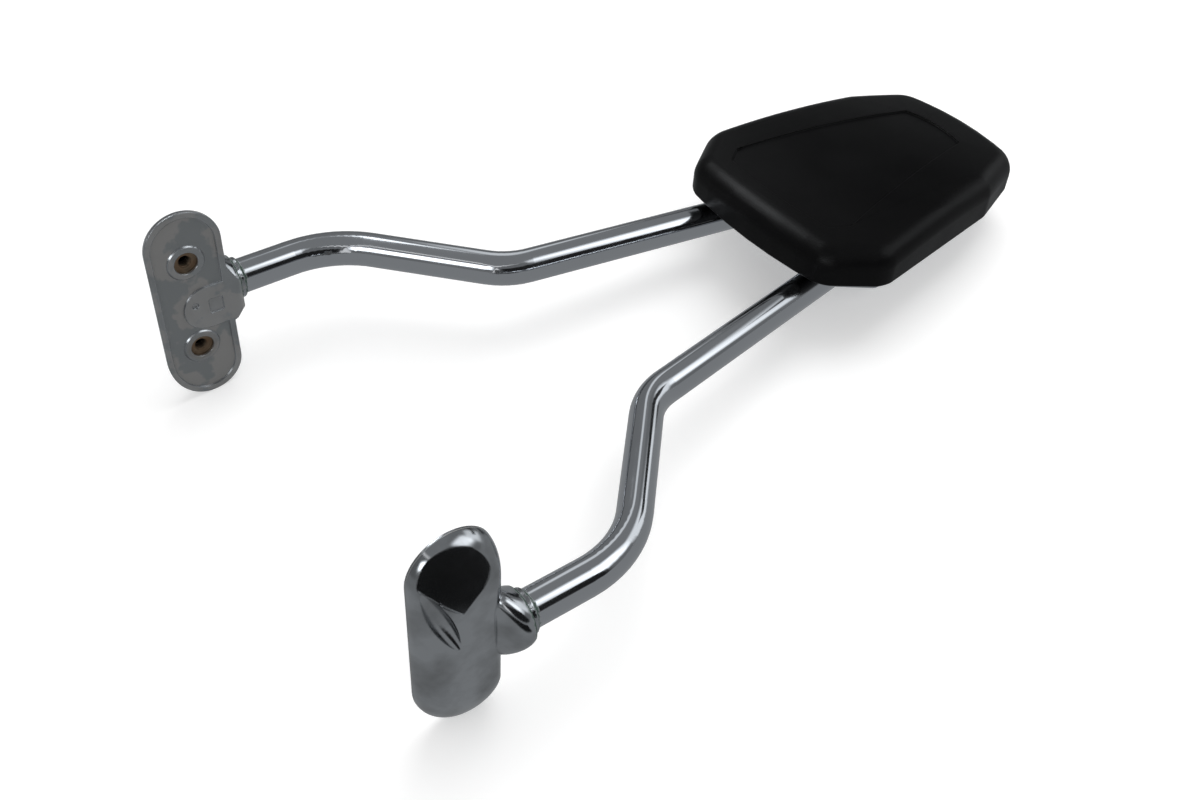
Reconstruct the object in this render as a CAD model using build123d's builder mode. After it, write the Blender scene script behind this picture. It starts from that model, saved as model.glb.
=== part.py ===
"""Detachable sissy bar for a cruiser motorcycle.

Two chromed cast brackets bolt to the fender struts, two bent oval tubes rise
from them, and a moulded pad with its steel pan sits on a plate across the
tube ends, closed behind by a chromed cover. The bar lies on its back, as it
comes to rest: on the lower ends of both brackets and the end of the cover.

Axes: X runs across the bike, rider's left positive. The sizes below are in
the plane of the tubes, called the bar plane: Y runs from the brackets to the
pad, Z out of the pad's face. Millimetres.
"""

import os
from math import asin, atan2, cos, hypot, radians, sin, sqrt

from build123d import *

os.makedirs("parts", exist_ok=True)

# Uprights: oval tube with two bends
track_half = 150.0
waist_half = 68.5
tube_half_width = 9.5
tube_half_height = 11.0
tube_wall = 2.0
lower_bend_y = 56.0
upper_bend_y = 132.0
tube_top_y = 425.0
tube_lean = 0.173
lower_bend_radius = 62.0
upper_bend_radius = 42.0

# Cast brackets: a body that swells from its flat inner face to a crown
tube_offset = 12.5
bracket_width = 44.5
bracket_length = 129.0
bracket_thickness = 14.5
bracket_y = -38.0
bracket_z = -0.5
crown_front = 20.0
crown_back = 6.5
crown_lower = 24.0
crown_upper = 27.0
crown_levels = (0, 25, 50, 70, 90)
lower_radius = 20.0
lower_front_height = 31.0
rim_width = 3.6
field_depth = 1.0

# Collar that holds the tube, and the web below it
collar_end_y = -8.5
collar_end_half_x = 14.2
collar_end_half_z = 14.8
collar_swell_y = -13.0
collar_swell_half_x = 14.4
collar_swell_half_z = 17.8
collar_root_y = -18.0
collar_root_half_x = 10.5
collar_root_half_z = 20.5
collar_tip_y = -23.0
collar_tip_half_x = 3.0
collar_tip_half_z = 17.0
web_thickness = 9.0
web_top_z = 10.0
web_foot_z = -12.0
web_spread = 9.0
web_chamfer = 5.0
socket_depth = 7.0
socket_clearance = 0.15
bead_length = 4.0
bead_height = 1.8
bead_rounding = 1.2

# Bosses and threaded bushes
boss_spacing = 60.5
boss_lift = 1.0
boss_radius = 11.0
boss_chamfer = 0.7
bush_radius = 7.0
bush_length = 6.0
bush_recess = 2.5
bush_end_gap = 1.0
bush_end_taper = 45
thread_bore_radius = 3.4
bush_clearance = 0.02
bush_chamfer = 0.6

# Tongue between the bosses
tongue_half_height = 14.4
tongue_reach = 30.0
tongue_drop = 3.8
tongue_pit_radius = 2.0
tongue_pit_depth = 1.2
tongue_pocket_length = 8.5
tongue_pocket_height = 10.0
tongue_pocket_depth = 0.8
tongue_pocket_gap = 12.3

# Scoop and flute on the outer face
scoop_tip_angle = 166
scoop_tip_margin = 1.3
scoop_crown_angle = 105
scoop_shoulder_angle = 25
scoop_lip = 2.4
scoop_back_margin = 7.0
scoop_point_drop = 17.5
scoop_point_set = 1.5
scoop_side_bow = 3.5
scoop_tip_bow = 1.6
scoop_depth = 9.0
scoop_middle_depth = 3.7
scoop_middle_share = 0.46
scoop_lean = 0.2
flute_top_angle = 158
flute_top_margin = -1.5
flute_reach_y = 19.0
flute_reach_z = 54.0
flute_radius = 5.2
flute_rise = 1.9
flute_top_drop = 7.0

# Pad: moulded cushion, its steel pan and the plate below
pad_lower_y = 261.5
pad_length = 195.8
pad_half_width = 82.5
pad_lower_half = 60.0
pad_upper_half = 66.0
pad_top_half = 49.5
pad_corner_share = 0.176
pad_shoulder_share = 0.76
pad_bow = 5.5
pad_thickness = 33.0
pad_crown_radius = 600.0
pad_crown_spread = 15
pad_edge_rounding = 8.0
pad_corner_radius = 10.0
pad_back_rounding = 2.0
panel_lower_y = 280.0
panel_length = 146.0
panel_half_width = 50.5
panel_lower_half = 43.0
panel_top_half = 23.5
panel_corner_share = 0.08
panel_bow = 4.0
panel_corner_radius = 2.0
panel_depth = 1.2
pan_thickness = 3.0
pan_inset = 7.0
pan_clearance = 0.3
plate_thickness = 3.0
plate_margin = 4.0
weld_gap = 0.2

# Rear cover
cover_lower_y = 297.0
cover_length = 140.0
cover_half_width = 60.0
cover_lower_half = 42.0
cover_upper_half = 47.0
cover_top_half = 33.0
cover_corner_share = 0.18
cover_shoulder_share = 0.88
cover_bow = 2.0
cover_corner_radius = 8.0
cover_wall = 1.2
cover_edge_rounding = 5.0
cover_back_gap = 1.0
notch_clearance = 0.5

# Fasteners
screw_radius = 3.0
screw_clearance = 0.3
screw_head_radius = 5.0
screw_head_height = 4.0
screw_socket_radius = 2.9
screw_socket_depth = 2.4
washer_radius = 6.0
washer_thickness = 1.4
thread_clearance = 0.1
cover_screw_radius = 2.5
cover_screw_length = 12.0
cover_screw_head_radius = 4.6
cover_screw_head_height = 2.4
cover_screw_socket_radius = 1.7
cover_screw_socket_depth = 1.7
lower_post_inset = 25.0
upper_post_inset = 35.0
lower_screw_share = 0.28
upper_screw_share = 0.8
nut_radius = 6.0
nut_height = 6.0
post_radius = 5.0

# Levels in the bar plane
inner_face_x = track_half - tube_offset
outer_face_x = inner_face_x + bracket_thickness
plate_back = tube_half_height + weld_gap
pad_back = plate_back + plate_thickness
pad_face = pad_back + pad_thickness
cover_inside = -(tube_half_height + cover_back_gap)
cover_back = cover_inside - cover_wall

# How the bar lies: the round lower ends of the brackets and the rounded top
# edge of the cover both touch the ground, which gives the tilt and the height.
# The foot is the centre of the round stretch that a bracket rests on.
end_radius = bracket_width / 2
front_edge_y = bracket_y - end_radius
back_edge_y = bracket_y + end_radius
lower_end_z = bracket_z - bracket_length / 2
foot_y = back_edge_y - lower_radius
foot_z = lower_end_z + lower_radius
cover_edge_y = cover_lower_y + cover_length - cover_edge_rounding
cover_edge_z = cover_back + cover_edge_rounding
reach = cover_edge_y - foot_y
rise = cover_edge_z - foot_z
tilt = atan2(rise, reach) + asin((lower_radius - cover_edge_rounding) / hypot(reach, rise))
bar_height = lower_radius + foot_y * sin(tilt) - foot_z * cos(tilt)
front_swing = hypot((foot_y - front_edge_y) * cos(tilt), lower_front_height * sin(tilt))
foremost = foot_y * cos(tilt) + (lower_end_z + lower_front_height) * sin(tilt) - front_swing
crown_drop = pad_crown_radius - sqrt(pad_crown_radius**2 - (pad_length / 2) ** 2)
rearmost = (pad_lower_y + pad_length) * cos(tilt) + (pad_face - crown_drop - pad_edge_rounding) * sin(tilt)
bar_plane = Plane(
    origin=(0, -(foremost + rearmost) / 2, bar_height),
    x_dir=(1, 0, 0),
    z_dir=(0, sin(tilt), cos(tilt)),
)


def place(x, y, z):
    """Point given in the bar plane's own axes."""
    return bar_plane.from_local_coords((x, y, z))


def side_plane(x):
    """Plane square to X, its own axes along the tubes and out of the pad."""
    return Plane(origin=place(x, 0, 0), x_dir=bar_plane.y_dir, z_dir=(1, 0, 0))


def cross_plane(x, y):
    """Plane square to the bar plane's Y, its own x axis along X."""
    return Plane(origin=place(x, y, 0), x_dir=(1, 0, 0), z_dir=bar_plane.y_dir)


def tube_x(y):
    """Centre line of the upper, leaning run of the left tube."""
    return waist_half - tube_lean * (y - upper_bend_y)


def octagon(lower_y, length, bow, rows):
    """Long octagon that tapers upwards, its two ends bowed out.

    Each row is a half width and its share of the way up, from the lower end
    to the upper one.
    """
    right = [(half, lower_y + bow + share * (length - 2 * bow)) for half, share in rows]
    left = [(-half, y) for half, y in reversed(right)]
    with BuildSketch() as shape:
        with BuildLine():
            ThreePointArc(left[-1], (0, lower_y), right[0])
            Polyline(*right)
            ThreePointArc(right[-1], (0, lower_y + length), left[0])
            Polyline(*left)
        make_face()
    return shape.sketch


def tube_section(margin):
    """Oval section of the tube, made larger by a margin."""
    Ellipse(tube_half_width + margin, tube_half_height + margin)


# Outlines of the pad, its front panel and the rear cover
pad_shape = octagon(
    pad_lower_y,
    pad_length,
    pad_bow,
    rows=(
        (pad_lower_half, 0),
        (pad_half_width, pad_corner_share),
        (pad_upper_half, pad_shoulder_share),
        (pad_top_half, 1),
    ),
)
panel_shape = octagon(
    panel_lower_y,
    panel_length,
    panel_bow,
    rows=(
        (panel_lower_half, 0),
        (panel_half_width, panel_corner_share),
        (panel_top_half, 1),
    ),
)
cover_shape = octagon(
    cover_lower_y,
    cover_length,
    cover_bow,
    rows=(
        (cover_lower_half, 0),
        (cover_half_width, cover_corner_share),
        (cover_upper_half, cover_shoulder_share),
        (cover_top_half, 1),
    ),
)

# Places on the bracket
bar_plane_axis = Axis(origin=bar_plane.origin, direction=bar_plane.z_dir)
boss_z = bracket_z + boss_lift
boss_spots = [(bracket_y, boss_z - boss_spacing / 2), (bracket_y, boss_z + boss_spacing / 2)]
tongue_end_y = front_edge_y + tongue_reach
pit_y = tongue_end_y - tongue_half_height / 2
pocket_y = pit_y + tongue_pocket_gap
tube_axis = Axis(origin=place(track_half, 0, 0), direction=bar_plane.y_dir)
upper_centre = Vector(bracket_y, bracket_z + bracket_length / 2 - end_radius)


def round_end(margin, angle):
    """Point at an angle round the body's upper end, a margin inside its edge."""
    return upper_centre + Vector(end_radius - margin, 0).rotate(Axis.Z, angle)


def is_boss_rim(edge):
    """Round edges of the bosses on the inner face."""
    if edge.geom_type != GeomType.CIRCLE:
        return False
    on_face = abs(edge.center().X - inner_face_x) < field_depth / 2
    return on_face and abs(edge.radius - boss_radius) < field_depth / 2


def body_outline(inset, margin=0):
    """Outline of the bracket's body at a share of its crown, or a margin inside it.

    The upper end is half a circle. The lower end is a quarter circle at the
    back and a longer quarter of an ellipse at the front.
    """
    front = front_edge_y + crown_front * inset + margin
    back = back_edge_y - crown_back * inset - margin
    low = lower_end_z + crown_lower * inset + margin
    half = (back - front) / 2
    shrink = half / end_radius
    high = bracket_z + bracket_length / 2 - crown_upper * inset - margin - half
    round_back = lower_radius * shrink
    round_front = lower_front_height * shrink
    turn_y = back - round_back
    with BuildSketch() as shape:
        with BuildLine():
            ThreePointArc((front, high), (front + half, high + half), (back, high))
            Line((back, high), (back, low + round_back))
            CenterArc((turn_y, low + round_back), round_back, 0, -90)
            EllipticalCenterArc(
                (turn_y, low + round_front),
                turn_y - front,
                round_front,
                start_angle=180,
                arc_size=90,
            )
            Line((front, low + round_front), (front, high))
        make_face()
    return shape.sketch


def body_level(angle):
    """The body's outline in its place at an angle up the crown."""
    level_plane = side_plane(inner_face_x + bracket_thickness * sin(radians(angle)))
    return level_plane * body_outline(1 - cos(radians(angle)))


def collar_level(y, half_x, half_z):
    """Oval section of the collar round the tube's centre line."""
    with BuildSketch(cross_plane(track_half, y)) as level:
        Ellipse(half_x, half_z)
    return level.sketch


# Scoop: a pocket under the lip of the upper end, whose floor climbs to a point
scoop_tip = round_end(scoop_tip_margin, scoop_tip_angle)
scoop_crown = round_end(scoop_lip, scoop_crown_angle)
scoop_shoulder = round_end(scoop_back_margin, scoop_shoulder_angle)
scoop_point = upper_centre - Vector(scoop_point_set, scoop_point_drop)
scoop_side = (scoop_shoulder + scoop_point) / 2 + Vector(scoop_side_bow, 0)
scoop_front = (scoop_tip + scoop_point) / 2 - Vector(scoop_tip_bow, 0)
scoop_height = upper_centre.Y + end_radius - scoop_point.Y
with BuildPart() as scoop_tool:
    with BuildSketch(side_plane(inner_face_x)):
        with BuildLine():
            ThreePointArc(scoop_tip, scoop_crown, scoop_shoulder)
            ThreePointArc(scoop_shoulder, scoop_side, scoop_point)
            ThreePointArc(scoop_point, scoop_front, scoop_tip)
        make_face()
    extrude(amount=2 * bracket_thickness)
    floor_plane = Plane(
        origin=place(outer_face_x, scoop_point.X, scoop_point.Y),
        x_dir=bar_plane.x_dir - bar_plane.y_dir * scoop_lean,
        z_dir=bar_plane.y_dir + bar_plane.x_dir * scoop_lean,
    )
    with BuildSketch(floor_plane):
        with BuildLine():
            floor = ThreePointArc(
                (0, 0),
                (-scoop_middle_depth, -scoop_middle_share * scoop_height),
                (-scoop_depth, -scoop_height),
            )
            Polyline(
                floor @ 1,
                (bracket_thickness, -scoop_height),
                (bracket_thickness, 0),
                floor @ 0,
            )
        make_face()
    extrude(amount=bracket_width, both=True, mode=Mode.INTERSECT)

# Flute: a slender leaf let into the crown along the scoop's lower side
flute_top = round_end(flute_top_margin, flute_top_angle)
flute_start = place(outer_face_x + flute_rise - flute_top_drop, flute_top.X, flute_top.Y)
flute_end = place(
    outer_face_x + flute_rise,
    flute_top.X + flute_reach_y,
    flute_top.Y - flute_reach_z,
)
flute_length = (flute_end - flute_start).length
flute_plane = Plane(
    origin=flute_start,
    x_dir=flute_end - flute_start,
    z_dir=bar_plane.x_dir.cross(flute_end - flute_start),
)
with BuildPart() as flute_tool:
    with BuildSketch(flute_plane):
        with BuildLine():
            leaf = ThreePointArc((0, 0), (flute_length / 2, flute_radius), (flute_length, 0))
            Line(leaf @ 1, leaf @ 0)
        make_face()
    revolve(axis=Axis(origin=flute_start, direction=flute_plane.x_dir))

# Collar: swells below the tube and closes over the body's back edge
with BuildPart() as collar:
    add(collar_level(collar_end_y, collar_end_half_x, collar_end_half_z))
    add(collar_level(collar_swell_y, collar_swell_half_x, collar_swell_half_z))
    add(collar_level(collar_root_y, collar_root_half_x, collar_root_half_z))
    add(collar_level(collar_tip_y, collar_tip_half_x, collar_tip_half_z))
    loft()

# Bracket, left: body, web and collar, scoop and flute, then the inner face
with BuildPart() as bracket_left:
    for angle in crown_levels:
        add(body_level(angle))
    loft()
    with BuildSketch(side_plane(inner_face_x)):
        with BuildLine():
            Polyline(
                (collar_end_y, web_top_z - web_chamfer),
                (collar_end_y, web_foot_z),
                (collar_end_y - web_chamfer, web_foot_z - web_spread + web_chamfer / 2),
                (collar_end_y - 2 * web_chamfer, web_foot_z - web_spread),
                (bracket_y, web_foot_z - web_spread),
                (bracket_y, web_top_z + web_spread),
                (back_edge_y, web_top_z + web_spread),
                close=True,
            )
        make_face()
    extrude(amount=web_thickness)
    add(collar.part)
    split(bisect_by=side_plane(inner_face_x), keep=Keep.TOP)
    add(scoop_tool.part, mode=Mode.SUBTRACT)
    add(flute_tool.part, mode=Mode.SUBTRACT)
    # Inner face: a sunk field inside the rim, round the bosses and the tongue
    with BuildSketch(side_plane(inner_face_x)):
        add(body_outline(0, margin=rim_width))
        with Locations(*boss_spots):
            Circle(boss_radius, mode=Mode.SUBTRACT)
        with Locations((tongue_end_y, -tongue_drop)):
            Circle(tongue_half_height, mode=Mode.SUBTRACT)
            Rectangle(
                bracket_width,
                2 * tongue_half_height,
                align=(Align.MIN, Align.CENTER),
                mode=Mode.SUBTRACT,
            )
    extrude(amount=field_depth, mode=Mode.SUBTRACT)
    chamfer(bracket_left.edges().filter_by(is_boss_rim), length=boss_chamfer)
    with BuildSketch(side_plane(inner_face_x)):
        with Locations(*boss_spots):
            Circle(bush_radius + bush_clearance)
    extrude(amount=bush_recess + bush_length, mode=Mode.SUBTRACT)
    with BuildSketch(side_plane(inner_face_x + bush_recess + bush_length)):
        with Locations(*boss_spots):
            Circle(bush_radius + bush_clearance)
    extrude(amount=bush_end_gap, taper=bush_end_taper, mode=Mode.SUBTRACT)
    # Casting pit and pocket in the tongue
    with BuildSketch(side_plane(inner_face_x)):
        with Locations((pit_y, 0)):
            Circle(tongue_pit_radius)
    extrude(amount=tongue_pit_depth, mode=Mode.SUBTRACT)
    with BuildSketch(side_plane(inner_face_x)):
        with Locations((pocket_y, -tongue_drop)):
            RectangleRounded(tongue_pocket_length, tongue_pocket_height, 1)
    extrude(amount=tongue_pocket_depth, mode=Mode.SUBTRACT)
    # Weld bead, then the socket through it into the collar
    with BuildSketch(cross_plane(track_half, collar_end_y)):
        tube_section(bead_height)
    extrude(amount=bead_length)
    bead_rim = bracket_left.faces().filter_by(tube_axis).sort_by(tube_axis)[-1]
    fillet(bead_rim.edges(), radius=bead_rounding)
    with BuildSketch(cross_plane(track_half, collar_end_y - socket_depth)):
        tube_section(socket_clearance)
    extrude(amount=socket_depth + bead_length, mode=Mode.SUBTRACT)

with BuildPart() as bracket_right:
    mirror(bracket_left.part, about=Plane.YZ)

# Threaded bushes: one steel bush in each boss, sunk below its mouth
bushes = {}
for side, sign in (("left", 1), ("right", -1)):
    for level, spot in zip(("lower", "upper"), boss_spots):
        with BuildPart() as bush:
            with BuildSketch(side_plane(sign * (inner_face_x + bush_recess))):
                with Locations(spot):
                    Circle(bush_radius)
                    Circle(thread_bore_radius, mode=Mode.SUBTRACT)
            extrude(amount=sign * bush_length)
            mouth = bush.edges().filter_by(GeomType.CIRCLE).sort_by(Axis.X, reverse=sign < 0)[:2]
            chamfer(mouth.sort_by(SortBy.RADIUS)[0], length=bush_chamfer)
        bushes[f"bush_{side}_{level}"] = bush

# Uprights: one oval tube bent twice, from the socket to the top of the plate
with BuildPart() as upright_left:
    with BuildLine(bar_plane) as tube_path:
        FilletPolyline(
            (track_half, collar_end_y - socket_depth + socket_clearance),
            (track_half, lower_bend_y),
            (waist_half, upper_bend_y),
            (tube_x(tube_top_y), tube_top_y),
            radius=[lower_bend_radius, upper_bend_radius],
        )
    with BuildSketch(cross_plane(track_half, collar_end_y - socket_depth + socket_clearance)):
        tube_section(0)
        Ellipse(tube_half_width - tube_wall, tube_half_height - tube_wall, mode=Mode.SUBTRACT)
    sweep(path=tube_path.wire())

with BuildPart() as upright_right:
    mirror(upright_left.part, about=Plane.YZ)

# Places of the pad's screws: between each tube and the cover's wall
screw_rows = [cover_lower_y + cover_length * share for share in (lower_screw_share, upper_screw_share)]


def cover_half(y):
    """Half width of the cover's long leaning sides."""
    inner_length = cover_length - 2 * cover_bow
    corner_y = cover_lower_y + cover_bow + cover_corner_share * inner_length
    shoulder_y = cover_lower_y + cover_bow + cover_shoulder_share * inner_length
    along = (y - corner_y) / (shoulder_y - corner_y)
    return cover_half_width + along * (cover_upper_half - cover_half_width)


def screw_x(y):
    """Half way between the tube and the inside of the cover's wall."""
    return (tube_x(y) + tube_half_width + cover_half(y) - cover_wall) / 2


pad_screw_spots = [(sign * screw_x(y), y) for y in screw_rows for sign in (-1, 1)]
post_rows = (cover_lower_y + lower_post_inset, cover_lower_y + cover_length - upper_post_inset)
post_spots = [(0, y) for y in post_rows]

# Plate across the tubes, under the pad
with BuildPart() as pad_plate:
    with BuildSketch(bar_plane.offset(plate_back)):
        add(cover_shape)
        offset(amount=plate_margin)
        with Locations(*pad_screw_spots):
            Circle(screw_radius + screw_clearance, mode=Mode.SUBTRACT)
    extrude(amount=plate_thickness)

# Pan moulded into the back of the pad
with BuildPart() as pad_pan:
    with BuildSketch(bar_plane.offset(pad_back)):
        add(pad_shape)
        offset(amount=-pan_inset)
        with Locations(*pad_screw_spots):
            Circle(screw_radius + screw_clearance, mode=Mode.SUBTRACT)
    extrude(amount=pan_thickness)

# Weld nuts on the pan
with BuildPart() as pad_nuts:
    with BuildSketch(bar_plane.offset(pad_back + pan_thickness)):
        with Locations(*pad_screw_spots):
            RegularPolygon(nut_radius, 6)
            Circle(screw_radius + thread_clearance, mode=Mode.SUBTRACT)
    extrude(amount=nut_height)

# Pad: moulded cushion with a crowned face, a round edge and a sunk front panel
pad_crown_centre = place(0, pad_lower_y + pad_length / 2, pad_face - pad_crown_radius)


def crowned_block(depth):
    """Round block with a crowned top, a depth below the pad's face."""
    with BuildPart() as block:
        with BuildSketch(Plane(origin=pad_crown_centre, x_dir=bar_plane.x_dir, z_dir=-bar_plane.y_dir)):
            with BuildLine():
                top = CenterArc((0, 0), pad_crown_radius - depth, 90, -pad_crown_spread)
                Polyline(top @ 1, (0, 0), top @ 0)
            make_face()
        revolve(axis=Axis(origin=pad_crown_centre, direction=bar_plane.z_dir))
    return block.part


with BuildPart() as panel_tool:
    with BuildSketch(bar_plane.offset(pad_back)) as panel:
        add(panel_shape)
        fillet(panel.vertices(), radius=panel_corner_radius)
    extrude(amount=2 * pad_thickness)
    add(crowned_block(panel_depth), mode=Mode.SUBTRACT)
with BuildPart() as pad_cushion:
    with BuildSketch(bar_plane.offset(pad_back)) as pad_base:
        add(pad_shape)
        fillet(pad_base.vertices(), radius=pad_corner_radius)
    extrude(amount=pad_thickness)
    add(crowned_block(0), mode=Mode.INTERSECT)
    fillet(pad_cushion.faces().sort_by(bar_plane_axis)[-1].edges(), radius=pad_edge_rounding)
    fillet(pad_cushion.faces().sort_by(bar_plane_axis)[0].edges(), radius=pad_back_rounding)
    add(panel_tool.part, mode=Mode.SUBTRACT)
    with BuildSketch(bar_plane.offset(pad_back)):
        add(pad_shape)
        offset(amount=pan_clearance - pan_inset)
    extrude(amount=pan_thickness, mode=Mode.SUBTRACT)
    with BuildSketch(bar_plane.offset(pad_back)):
        with Locations(*pad_screw_spots):
            RegularPolygon(nut_radius + pan_clearance, 6)
    extrude(amount=pan_thickness + nut_height + pan_clearance, mode=Mode.SUBTRACT)

# Rear cover: pressed dish with notches for the tubes
with BuildPart() as rear_cover:
    with BuildSketch(bar_plane.offset(cover_back)) as cover_base:
        add(cover_shape)
        fillet(cover_base.vertices(), radius=cover_corner_radius)
    extrude(amount=plate_back - cover_back)
    fillet(rear_cover.faces().sort_by(bar_plane_axis)[0].edges(), radius=cover_edge_rounding)
    offset(amount=-cover_wall, openings=rear_cover.faces().sort_by(bar_plane_axis)[-1])
    for sign in (-1, 1):
        notch_plane = Plane(
            origin=place(sign * waist_half, upper_bend_y, 0),
            x_dir=bar_plane.z_dir,
            z_dir=bar_plane.y_dir - bar_plane.x_dir * (sign * tube_lean),
        )
        with BuildSketch(notch_plane):
            Ellipse(tube_half_height + notch_clearance, tube_half_width + notch_clearance)
            Rectangle(
                plate_back,
                2 * (tube_half_width + notch_clearance),
                align=(Align.MIN, Align.CENTER),
            )
        extrude(amount=cover_lower_y + cover_length / 2 - upper_bend_y, mode=Mode.SUBTRACT)
    with BuildSketch(bar_plane.offset(cover_back)):
        with Locations(*post_spots):
            Circle(cover_screw_radius + screw_clearance)
    extrude(amount=cover_wall, mode=Mode.SUBTRACT)

# Posts that the rear cover is screwed to
with BuildPart() as cover_posts:
    with BuildSketch(bar_plane.offset(cover_inside)):
        with Locations(*post_spots):
            Circle(post_radius)
            Circle(cover_screw_radius + thread_clearance, mode=Mode.SUBTRACT)
    extrude(amount=plate_back - cover_inside)

# Pad screws: cap screws from behind, with a washer under each head
with BuildPart() as pad_washers:
    with BuildSketch(bar_plane.offset(plate_back)):
        with Locations(*pad_screw_spots):
            Circle(washer_radius)
            Circle(screw_radius + screw_clearance, mode=Mode.SUBTRACT)
    extrude(amount=-washer_thickness)

head_seat = plate_back - washer_thickness
with BuildPart() as pad_screws:
    with BuildSketch(bar_plane.offset(head_seat)):
        with Locations(*pad_screw_spots):
            Circle(screw_head_radius)
    extrude(amount=-screw_head_height)
    with BuildSketch(bar_plane.offset(head_seat)):
        with Locations(*pad_screw_spots):
            Circle(screw_radius)
    extrude(amount=pad_back + pan_thickness + nut_height - head_seat)
    with BuildSketch(bar_plane.offset(head_seat - screw_head_height)):
        with Locations(*pad_screw_spots):
            RegularPolygon(screw_socket_radius, 6)
    extrude(amount=screw_socket_depth, mode=Mode.SUBTRACT)

# Cover screws: low round heads on the back, shanks into the posts
with BuildPart() as cover_screws:
    with BuildSketch(bar_plane.offset(cover_back)):
        with Locations(*post_spots):
            Circle(cover_screw_head_radius)
    extrude(amount=-cover_screw_head_height)
    chamfer(
        cover_screws.faces().sort_by(bar_plane_axis)[:2].edges(),
        length=cover_screw_head_height / 2,
    )
    with BuildSketch(bar_plane.offset(cover_back)):
        with Locations(*post_spots):
            Circle(cover_screw_radius)
    extrude(amount=cover_screw_length)
    with BuildSketch(bar_plane.offset(cover_back - cover_screw_head_height)):
        with Locations(*post_spots):
            RegularPolygon(cover_screw_socket_radius, 6)
    extrude(amount=cover_screw_socket_depth, mode=Mode.SUBTRACT)

for name, piece in {
    "bracket_left": bracket_left,
    "bracket_right": bracket_right,
    **bushes,
    "upright_left": upright_left,
    "upright_right": upright_right,
    "pad_plate": pad_plate,
    "pad_pan": pad_pan,
    "pad_nuts": pad_nuts,
    "pad_cushion": pad_cushion,
    "rear_cover": rear_cover,
    "cover_posts": cover_posts,
    "pad_washers": pad_washers,
    "pad_screws": pad_screws,
    "cover_screws": cover_screws,
}.items():
    piece.part.label = name
    export_step(piece.part, f"parts/{name}.step")
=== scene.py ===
"""Looks of the sissy bar: finishes for its pieces, the moulded pad and a plain studio.

Everything is in metres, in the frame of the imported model. Sizes of the pad
are given in the bar plane: X across the bike, Y from the brackets to the pad
and Z out of the pad's face.
"""

import logging
import math
from abc import ABC, abstractmethod
from dataclasses import dataclass
from enum import Enum

import bmesh
import bpy
from mathutils import Matrix, Vector

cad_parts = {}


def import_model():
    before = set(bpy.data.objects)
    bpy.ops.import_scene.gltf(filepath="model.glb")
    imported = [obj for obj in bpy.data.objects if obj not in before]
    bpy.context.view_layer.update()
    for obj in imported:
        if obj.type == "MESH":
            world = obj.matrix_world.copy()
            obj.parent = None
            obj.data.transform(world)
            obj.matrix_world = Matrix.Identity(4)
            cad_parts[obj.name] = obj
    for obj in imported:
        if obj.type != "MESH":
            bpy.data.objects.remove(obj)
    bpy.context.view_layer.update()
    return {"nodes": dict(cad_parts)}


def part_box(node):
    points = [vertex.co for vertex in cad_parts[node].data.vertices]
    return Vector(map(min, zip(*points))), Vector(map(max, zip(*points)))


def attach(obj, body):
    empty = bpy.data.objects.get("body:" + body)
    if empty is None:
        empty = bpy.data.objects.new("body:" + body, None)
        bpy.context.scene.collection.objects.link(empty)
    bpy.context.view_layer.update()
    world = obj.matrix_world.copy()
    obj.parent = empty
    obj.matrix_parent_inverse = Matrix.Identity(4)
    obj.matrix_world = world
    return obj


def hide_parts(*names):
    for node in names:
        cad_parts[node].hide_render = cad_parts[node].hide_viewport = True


log = logging.getLogger("sissy_bar")

MM = 0.001


# Places in the frame


class Side(Enum):
    """Sides of the bike, as the names of the nodes give them."""

    LEFT = "left"
    RIGHT = "right"


class Level(Enum):
    """Levels of the bushes, as the names of the nodes give them."""

    LOWER = "lower"
    UPPER = "upper"


def bush_name(side: Side, level: Level) -> str:
    """Name of a bush's node."""
    return f"bush_{side.value}_{level.value}"


def bush_middle(level: Level) -> Vector:
    """Middle of a left bush."""
    return sum(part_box(bush_name(Side.LEFT, level)), Vector()) / 2


@dataclass(frozen=True)
class BarPlane:
    """Plane of the two tubes, found from the bushes in the brackets.

    Args:
        origin: Point midway between the lower ends of the tubes.
        along: Direction from the brackets to the pad.
        out: Direction out of the pad's face.
    """

    origin: Vector
    along: Vector
    out: Vector

    @staticmethod
    def from_frame(bush_y: float, bush_z: float) -> "BarPlane":
        """Reads the plane from the boxes of the lower and upper bush.

        Args:
            bush_y: Place of the bushes along the plane.
            bush_z: Height of their middle over the plane.

        Returns:
            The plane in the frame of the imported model.
        """
        low, high = bush_middle(Level.LOWER), bush_middle(Level.UPPER)
        out = (high - low).normalized()
        along = out.cross(Vector((1, 0, 0)))
        middle = (low + high) / 2
        middle.x = 0
        return BarPlane(middle - along * bush_y - out * bush_z, along, out)

    def matrix(self) -> Matrix:
        """Matrix that takes the plane's own points into the frame."""
        turn = Matrix((Vector((1, 0, 0)), self.along, self.out)).transposed()
        return Matrix.Translation(self.origin) @ turn.to_4x4()

    def place(self, x: float, y: float, z: float) -> Vector:
        """Point of the frame for a point in the plane's own axes."""
        return self.matrix() @ Vector((x, y, z))


# Shader graphs


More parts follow.
